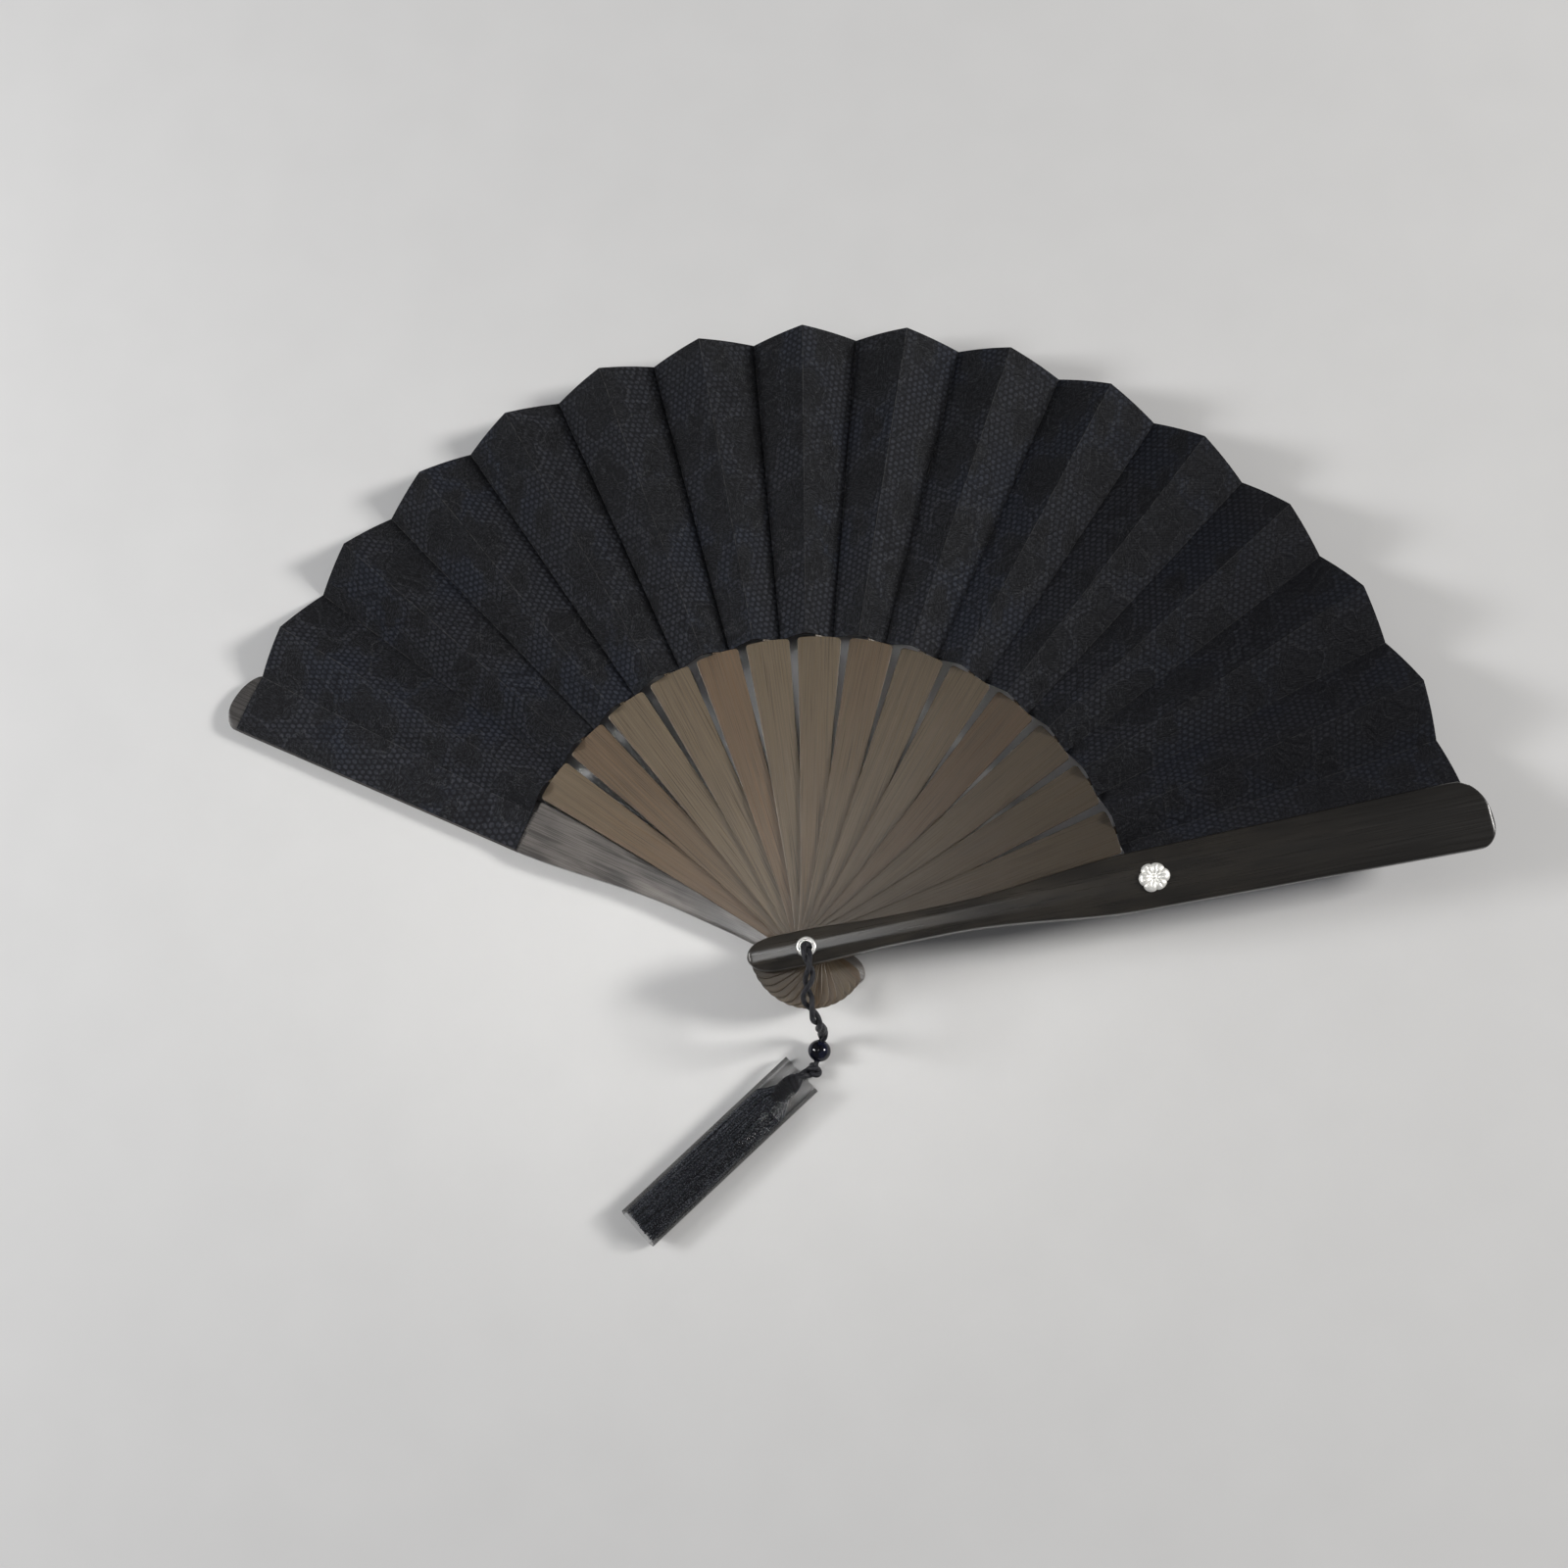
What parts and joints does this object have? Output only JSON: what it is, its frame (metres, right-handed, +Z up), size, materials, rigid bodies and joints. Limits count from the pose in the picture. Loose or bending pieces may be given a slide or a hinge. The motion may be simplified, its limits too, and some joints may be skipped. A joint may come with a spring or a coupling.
{
  "type": "folding hand fan",
  "caption": "Folding hand fan with a pleated lace leaf on bamboo ribs between two guards, a hollow rivet, and a corded tassel; it opens and shuts about the rivet.",
  "frame": {"origin": "the rivet's axis where it meets the surface that the fan lies on, the rear guard's outer face", "axes": "+Z up along the rivet's axis, +Y through the middle of the open leaf, +X towards the front guard"},
  "size_m": [0.3704, 0.2755, 0.0331],
  "materials": {
    "leaf": "black floral lace with a fine net ground over dark navy cloth",
    "rib": "brown-grey stained bamboo, satin, fine straight grain",
    "front_guard": "near-black stained wood, polished",
    "rear_guard": "grey stained wood, satin, darker outside",
    "metal": "bright nickel plate",
    "flower": "satin silver-white, engraved",
    "cord": "black two-ply twisted cord",
    "bead": "glossy black bead",
    "tassel": "black-navy fluffy yarn",
    "film": "clear plastic film"
  },
  "bodies": {
    "rear_guard": {"rear_guard": "rear_guard", "rivet": "metal", "rivet_head": "metal", "leaf_00": "leaf", "leaf_01": "leaf", "cord": "cord", "bead": "bead", "knot": "cord", "tassel_head": "cord", "tassel_skirt": "tassel", "tassel_sleeve": "film"},
    "rib_01": {"rib_01": "rib"},
    "rib_02": {"rib_02": "rib"},
    "rib_03": {"rib_03": "rib"},
    "rib_04": {"rib_04": "rib"},
    "rib_05": {"rib_05": "rib"},
    "rib_06": {"rib_06": "rib"},
    "rib_07": {"rib_07": "rib"},
    "rib_08": {"rib_08": "rib"},
    "rib_09": {"rib_09": "rib"},
    "rib_10": {"rib_10": "rib"},
    "rib_11": {"rib_11": "rib"},
    "rib_12": {"rib_12": "rib"},
    "rib_13": {"rib_13": "rib"},
    "rib_14": {"rib_14": "rib"},
    "front_guard": {"front_guard": "front_guard", "flower": "flower", "flower_stud": "flower"},
    "leaf_peak_01": {"leaf_02": "leaf"},
    "leaf_valley_01": {"leaf_03": "leaf"},
    "leaf_peak_02": {"leaf_04": "leaf"},
    "leaf_valley_02": {"leaf_05": "leaf"},
    "leaf_peak_03": {"leaf_06": "leaf"},
    "leaf_valley_03": {"leaf_07": "leaf"},
    "leaf_peak_04": {"leaf_08": "leaf"},
    "leaf_valley_04": {"leaf_09": "leaf"},
    "leaf_peak_05": {"leaf_10": "leaf"},
    "leaf_valley_05": {"leaf_11": "leaf"},
    "leaf_peak_06": {"leaf_12": "leaf"},
    "leaf_valley_06": {"leaf_13": "leaf"},
    "leaf_peak_07": {"leaf_14": "leaf"},
    "leaf_valley_07": {"leaf_15": "leaf"},
    "leaf_peak_08": {"leaf_16": "leaf"},
    "leaf_valley_08": {"leaf_17": "leaf"},
    "leaf_peak_09": {"leaf_18": "leaf"},
    "leaf_valley_09": {"leaf_19": "leaf"},
    "leaf_peak_10": {"leaf_20": "leaf"},
    "leaf_valley_10": {"leaf_21": "leaf"},
    "leaf_peak_11": {"leaf_22": "leaf"},
    "leaf_valley_11": {"leaf_23": "leaf"},
    "leaf_peak_12": {"leaf_24": "leaf"},
    "leaf_valley_12": {"leaf_25": "leaf"},
    "leaf_peak_13": {"leaf_26": "leaf"},
    "leaf_valley_13": {"leaf_27": "leaf"},
    "leaf_peak_14": {"leaf_28": "leaf"},
    "leaf_valley_14": {"leaf_29": "leaf"},
    "leaf_last": {"leaf_30": "leaf"}
  },
  "joints": [
    {"name": "front_guard_swing", "type": "hinge", "parent": "rear_guard", "child": "front_guard", "pos_m": [0, 0, 0.02625], "axis": [0, 0, 1], "range_deg": [0, 144.5]},
    {"name": "rib_01_swing", "type": "hinge", "parent": "rear_guard", "child": "rib_01", "pos_m": [0, 0, 0.00625], "axis": [0, 0, 1], "range_deg": [0, 9.63]},
    {"name": "rib_02_swing", "type": "hinge", "parent": "rear_guard", "child": "rib_02", "pos_m": [0, 0, 0.0073], "axis": [0, 0, 1], "range_deg": [0, 19.27]},
    {"name": "rib_03_swing", "type": "hinge", "parent": "rear_guard", "child": "rib_03", "pos_m": [0, 0, 0.00835], "axis": [0, 0, 1], "range_deg": [0, 28.9]},
    {"name": "rib_04_swing", "type": "hinge", "parent": "rear_guard", "child": "rib_04", "pos_m": [0, 0, 0.0094], "axis": [0, 0, 1], "range_deg": [0, 38.53]},
    {"name": "rib_05_swing", "type": "hinge", "parent": "rear_guard", "child": "rib_05", "pos_m": [0, 0, 0.01045], "axis": [0, 0, 1], "range_deg": [0, 48.17]},
    {"name": "rib_06_swing", "type": "hinge", "parent": "rear_guard", "child": "rib_06", "pos_m": [0, 0, 0.0115], "axis": [0, 0, 1], "range_deg": [0, 57.8]},
    {"name": "rib_07_swing", "type": "hinge", "parent": "rear_guard", "child": "rib_07", "pos_m": [0, 0, 0.01255], "axis": [0, 0, 1], "range_deg": [0, 67.43]},
    {"name": "rib_08_swing", "type": "hinge", "parent": "rear_guard", "child": "rib_08", "pos_m": [0, 0, 0.0136], "axis": [0, 0, 1], "range_deg": [0, 77.07]},
    {"name": "rib_09_swing", "type": "hinge", "parent": "rear_guard", "child": "rib_09", "pos_m": [0, 0, 0.01465], "axis": [0, 0, 1], "range_deg": [0, 86.7]},
    {"name": "rib_10_swing", "type": "hinge", "parent": "rear_guard", "child": "rib_10", "pos_m": [0, 0, 0.0157], "axis": [0, 0, 1], "range_deg": [0, 96.33]},
    {"name": "rib_11_swing", "type": "hinge", "parent": "rear_guard", "child": "rib_11", "pos_m": [0, 0, 0.01675], "axis": [0, 0, 1], "range_deg": [0, 105.97]},
    {"name": "rib_12_swing", "type": "hinge", "parent": "rear_guard", "child": "rib_12", "pos_m": [0, 0, 0.0178], "axis": [0, 0, 1], "range_deg": [0, 115.6]},
    {"name": "rib_13_swing", "type": "hinge", "parent": "rear_guard", "child": "rib_13", "pos_m": [0, 0, 0.01885], "axis": [0, 0, 1], "range_deg": [0, 125.23]},
    {"name": "rib_14_swing", "type": "hinge", "parent": "rear_guard", "child": "rib_14", "pos_m": [0, 0, 0.0199], "axis": [0, 0, 1], "range_deg": [0, 134.87]},
    {"name": "leaf_peak_01_fold", "type": "hinge", "parent": "rear_guard", "child": "leaf_peak_01", "pos_m": [0.00014, 0.00036, 0.00625], "axis": [-0.059, -0.1637, 0.9847], "range_deg": [0, 10.39], "deforming": ["leaf_02", "leaf_01"]},
    {"name": "leaf_valley_01_fold", "type": "hinge", "parent": "leaf_peak_01", "child": "leaf_valley_01", "pos_m": [0.00082, 0.00169, 0.00562], "axis": [0.4359, 0.8425, -0.3164], "range_deg": [0, 3.8], "deforming": ["leaf_03"]},
    {"name": "leaf_peak_02_fold", "type": "hinge", "parent": "leaf_valley_01", "child": "leaf_peak_02", "pos_m": [-0.00011, -0.00014, 0.0073], "axis": [-0.1685, -0.2677, 0.9486], "range_deg": [0, 11.42], "deforming": ["leaf_04"]},
    {"name": "leaf_valley_02_fold", "type": "hinge", "parent": "leaf_peak_02", "child": "leaf_valley_02", "pos_m": [0.00131, 0.00176, 0.00657], "axis": [0.571, 0.7576, -0.3164], "range_deg": [0, 3.8], "deforming": ["leaf_05"]},
    {"name": "leaf_peak_03_fold", "type": "hinge", "parent": "leaf_valley_02", "child": "leaf_peak_03", "pos_m": [-0.00013, -0.00012, 0.00835], "axis": [-0.2109, -0.2357, 0.9486], "range_deg": [0, 11.42], "deforming": ["leaf_06"]},
    {"name": "leaf_valley_03_fold", "type": "hinge", "parent": "leaf_peak_03", "child": "leaf_valley_03", "pos_m": [0.00182, 0.00172, 0.00751], "axis": [0.6897, 0.6513, -0.3164], "range_deg": [0, 3.8], "deforming": ["leaf_07"]},
    {"name": "leaf_peak_04_fold", "type": "hinge", "parent": "leaf_valley_03", "child": "leaf_peak_04", "pos_m": [-0.00014, -0.0001, 0.0094], "axis": [-0.2474, -0.1971, 0.9486], "range_deg": [0, 11.42], "deforming": ["leaf_08"]},
    {"name": "leaf_valley_04_fold", "type": "hinge", "parent": "leaf_peak_04", "child": "leaf_valley_04", "pos_m": [0.00234, 0.00157, 0.00846], "axis": [0.789, 0.5267, -0.3164], "range_deg": [0, 3.8], "deforming": ["leaf_09"]},
    {"name": "leaf_peak_05_fold", "type": "hinge", "parent": "leaf_valley_04", "child": "leaf_peak_05", "pos_m": [-0.00016, -0.00008, 0.01045], "axis": [-0.2769, -0.1529, 0.9486], "range_deg": [0, 11.42], "deforming": ["leaf_10"]},
    {"name": "leaf_valley_05_fold", "type": "hinge", "parent": "leaf_peak_05", "child": "leaf_valley_05", "pos_m": [0.00286, 0.00128, 0.0094], "axis": [0.866, 0.3873, -0.3164], "range_deg": [0, 3.8], "deforming": ["leaf_11"]},
    {"name": "leaf_peak_06_fold", "type": "hinge", "parent": "leaf_valley_05", "child": "leaf_peak_06", "pos_m": [-0.00017, -0.00005, 0.0115], "axis": [-0.2986, -0.1044, 0.9486], "range_deg": [0, 11.42], "deforming": ["leaf_12"]},
    {"name": "leaf_valley_06_fold", "type": "hinge", "parent": "leaf_peak_06", "child": "leaf_valley_06", "pos_m": [0.00334, 0.00086, 0.01035], "axis": [0.9186, 0.2369, -0.3164], "range_deg": [0, 3.8], "deforming": ["leaf_13"]},
    {"name": "leaf_peak_07_fold", "type": "hinge", "parent": "leaf_valley_06", "child": "leaf_peak_07", "pos_m": [-0.00018, -0.00002, 0.01255], "axis": [-0.3119, -0.053, 0.9486], "range_deg": [0, 11.42], "deforming": ["leaf_14"]},
    {"name": "leaf_valley_07_fold", "type": "hinge", "parent": "leaf_peak_07", "child": "leaf_valley_07", "pos_m": [0.00375, 0.00032, 0.01129], "axis": [0.9453, 0.0798, -0.3164], "range_deg": [0, 3.8], "deforming": ["leaf_15"]},
    {"name": "leaf_peak_08_fold", "type": "hinge", "parent": "leaf_valley_07", "child": "leaf_peak_08", "pos_m": [-0.00018, 0.00001, 0.0136], "axis": [-0.3163, -0.0001, 0.9486], "range_deg": [0, 11.42], "deforming": ["leaf_16"]},
    {"name": "leaf_valley_08_fold", "type": "hinge", "parent": "leaf_peak_08", "child": "leaf_valley_08", "pos_m": [0.00407, -0.00034, 0.01224], "axis": [0.9453, -0.0795, -0.3164], "range_deg": [0, 3.8], "deforming": ["leaf_17"]},
    {"name": "leaf_peak_09_fold", "type": "hinge", "parent": "leaf_valley_08", "child": "leaf_peak_09", "pos_m": [-0.00017, 0.00004, 0.01465], "axis": [-0.3119, 0.0529, 0.9486], "range_deg": [0, 11.42], "deforming": ["leaf_18"]},
    {"name": "leaf_valley_09_fold", "type": "hinge", "parent": "leaf_peak_09", "child": "leaf_valley_09", "pos_m": [0.00426, -0.0011, 0.01318], "axis": [0.9187, -0.2365, -0.3164], "range_deg": [0, 3.8], "deforming": ["leaf_19"]},
    {"name": "leaf_peak_10_fold", "type": "hinge", "parent": "leaf_valley_09", "child": "leaf_peak_10", "pos_m": [-0.00016, 0.00007, 0.0157], "axis": [-0.2987, 0.1043, 0.9486], "range_deg": [0, 11.42], "deforming": ["leaf_20"]},
    {"name": "leaf_valley_10_fold", "type": "hinge", "parent": "leaf_peak_10", "child": "leaf_valley_10", "pos_m": [0.0043, -0.00192, 0.01412], "axis": [0.8661, -0.3869, -0.3164], "range_deg": [0, 3.8], "deforming": ["leaf_21"]},
    {"name": "leaf_peak_11_fold", "type": "hinge", "parent": "leaf_valley_10", "child": "leaf_peak_11", "pos_m": [-0.00015, 0.00009, 0.01675], "axis": [-0.277, 0.1528, 0.9486], "range_deg": [0, 11.42], "deforming": ["leaf_22"]},
    {"name": "leaf_valley_11_fold", "type": "hinge", "parent": "leaf_peak_11", "child": "leaf_valley_11", "pos_m": [0.00418, -0.00279, 0.01507], "axis": [0.7892, -0.5264, -0.3164], "range_deg": [0, 3.8], "deforming": ["leaf_23"]},
    {"name": "leaf_peak_12_fold", "type": "hinge", "parent": "leaf_valley_11", "child": "leaf_peak_12", "pos_m": [-0.00013, 0.00012, 0.0178], "axis": [-0.2475, 0.197, 0.9486], "range_deg": [0, 11.42], "deforming": ["leaf_24"]},
    {"name": "leaf_valley_12_fold", "type": "hinge", "parent": "leaf_peak_12", "child": "leaf_valley_12", "pos_m": [0.00389, -0.00367, 0.01601], "axis": [0.6899, -0.651, -0.3164], "range_deg": [0, 3.8], "deforming": ["leaf_25"]},
    {"name": "leaf_peak_13_fold", "type": "hinge", "parent": "leaf_valley_12", "child": "leaf_peak_13", "pos_m": [-0.00011, 0.00014, 0.01885], "axis": [-0.211, 0.2357, 0.9486], "range_deg": [0, 11.42], "deforming": ["leaf_26"]},
    {"name": "leaf_valley_13_fold", "type": "hinge", "parent": "leaf_peak_13", "child": "leaf_valley_13", "pos_m": [0.00341, -0.00452, 0.01696], "axis": [0.5713, -0.7573, -0.3164], "range_deg": [0, 3.8], "deforming": ["leaf_27"]},
    {"name": "leaf_peak_14_fold", "type": "hinge", "parent": "leaf_valley_13", "child": "leaf_peak_14", "pos_m": [-0.00009, 0.00015, 0.0199], "axis": [-0.1686, 0.2677, 0.9486], "range_deg": [0, 11.42], "deforming": ["leaf_28"]},
    {"name": "leaf_valley_14_fold", "type": "hinge", "parent": "leaf_peak_14", "child": "leaf_valley_14", "pos_m": [0.00275, -0.0053, 0.0179], "axis": [0.4365, -0.8422, -0.3164], "range_deg": [0, 3.8], "deforming": ["leaf_29"]},
    {"name": "leaf_last_fold", "type": "hinge", "parent": "leaf_valley_14", "child": "leaf_last", "pos_m": [-0.00016, 0.00035, 0.0199], "axis": [-0.0594, 0.1636, 0.9847], "range_deg": [0, 10.39], "deforming": ["leaf_30"]}
  ],
  "couplings": [
    {"joint": "rib_01_swing", "follows": "front_guard_swing", "ratio": 0.066667},
    {"joint": "rib_02_swing", "follows": "front_guard_swing", "ratio": 0.13333},
    {"joint": "rib_03_swing", "follows": "front_guard_swing", "ratio": 0.2},
    {"joint": "rib_04_swing", "follows": "front_guard_swing", "ratio": 0.26667},
    {"joint": "rib_05_swing", "follows": "front_guard_swing", "ratio": 0.33333},
    {"joint": "rib_06_swing", "follows": "front_guard_swing", "ratio": 0.4},
    {"joint": "rib_07_swing", "follows": "front_guard_swing", "ratio": 0.46667},
    {"joint": "rib_08_swing", "follows": "front_guard_swing", "ratio": 0.53333},
    {"joint": "rib_09_swing", "follows": "front_guard_swing", "ratio": 0.6},
    {"joint": "rib_10_swing", "follows": "front_guard_swing", "ratio": 0.66667},
    {"joint": "rib_11_swing", "follows": "front_guard_swing", "ratio": 0.73333},
    {"joint": "rib_12_swing", "follows": "front_guard_swing", "ratio": 0.8},
    {"joint": "rib_13_swing", "follows": "front_guard_swing", "ratio": 0.86667},
    {"joint": "rib_14_swing", "follows": "front_guard_swing", "ratio": 0.93333},
    {"joint": "leaf_peak_01_fold", "follows": "front_guard_swing", "ratio": 0.071918},
    {"joint": "leaf_valley_01_fold", "follows": "front_guard_swing", "ratio": 0.026324},
    {"joint": "leaf_peak_02_fold", "follows": "front_guard_swing", "ratio": 0.079034},
    {"joint": "leaf_valley_02_fold", "follows": "front_guard_swing", "ratio": 0.026319},
    {"joint": "leaf_peak_03_fold", "follows": "front_guard_swing", "ratio": 0.079032},
    {"joint": "leaf_valley_03_fold", "follows": "front_guard_swing", "ratio": 0.026317},
    {"joint": "leaf_peak_04_fold", "follows": "front_guard_swing", "ratio": 0.079031},
    {"joint": "leaf_valley_04_fold", "follows": "front_guard_swing", "ratio": 0.026317},
    {"joint": "leaf_peak_05_fold", "follows": "front_guard_swing", "ratio": 0.07903},
    {"joint": "leaf_valley_05_fold", "follows": "front_guard_swing", "ratio": 0.026316},
    {"joint": "leaf_peak_06_fold", "follows": "front_guard_swing", "ratio": 0.07903},
    {"joint": "leaf_valley_06_fold", "follows": "front_guard_swing", "ratio": 0.026316},
    {"joint": "leaf_peak_07_fold", "follows": "front_guard_swing", "ratio": 0.07903},
    {"joint": "leaf_valley_07_fold", "follows": "front_guard_swing", "ratio": 0.026316},
    {"joint": "leaf_peak_08_fold", "follows": "front_guard_swing", "ratio": 0.07903},
    {"joint": "leaf_valley_08_fold", "follows": "front_guard_swing", "ratio": 0.026316},
    {"joint": "leaf_peak_09_fold", "follows": "front_guard_swing", "ratio": 0.07903},
    {"joint": "leaf_valley_09_fold", "follows": "front_guard_swing", "ratio": 0.026316},
    {"joint": "leaf_peak_10_fold", "follows": "front_guard_swing", "ratio": 0.07903},
    {"joint": "leaf_valley_10_fold", "follows": "front_guard_swing", "ratio": 0.026316},
    {"joint": "leaf_peak_11_fold", "follows": "front_guard_swing", "ratio": 0.07903},
    {"joint": "leaf_valley_11_fold", "follows": "front_guard_swing", "ratio": 0.026316},
    {"joint": "leaf_peak_12_fold", "follows": "front_guard_swing", "ratio": 0.07903},
    {"joint": "leaf_valley_12_fold", "follows": "front_guard_swing", "ratio": 0.026316},
    {"joint": "leaf_peak_13_fold", "follows": "front_guard_swing", "ratio": 0.07903},
    {"joint": "leaf_valley_13_fold", "follows": "front_guard_swing", "ratio": 0.026316},
    {"joint": "leaf_peak_14_fold", "follows": "front_guard_swing", "ratio": 0.07903},
    {"joint": "leaf_valley_14_fold", "follows": "front_guard_swing", "ratio": 0.026316},
    {"joint": "leaf_last_fold", "follows": "front_guard_swing", "ratio": 0.071906}
  ]
}
